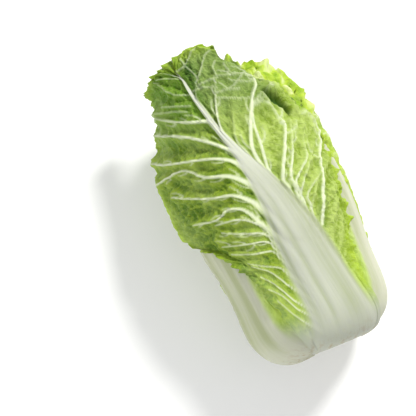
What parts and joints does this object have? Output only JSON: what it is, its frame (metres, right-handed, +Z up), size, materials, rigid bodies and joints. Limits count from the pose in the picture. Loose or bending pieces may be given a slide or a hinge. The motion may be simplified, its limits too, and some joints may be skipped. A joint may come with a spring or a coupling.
{
  "type": "chinese cabbage",
  "caption": "Barrel-shaped head of Chinese cabbage lying on its side, with wide white ribs, crinkled green blades, frilled leaf edges and a cut stump.",
  "frame": {"origin": "on the surface that the head rests on, under the middle of its bounding box", "axes": "+Y along the head from the cut stump to the leaf tips, +Z up, +X to the right of the front leaf"},
  "size_m": [0.1774, 0.3274, 0.1545],
  "materials": {
    "outer_leaf": "satin",
    "inner_leaf": "satin",
    "heart": "satin",
    "stump": "matte"
  },
  "bodies": {
    "root": {"stump": "stump", "heart": "heart", "outer_leaf_1": "outer_leaf", "outer_leaf_2": "outer_leaf", "outer_leaf_3": "outer_leaf", "outer_leaf_4": "outer_leaf", "outer_leaf_5": "outer_leaf", "inner_leaf_1": "inner_leaf", "inner_leaf_2": "inner_leaf", "inner_leaf_3": "inner_leaf", "inner_leaf_4": "inner_leaf", "inner_leaf_5": "inner_leaf"}
  },
  "joints": []
}
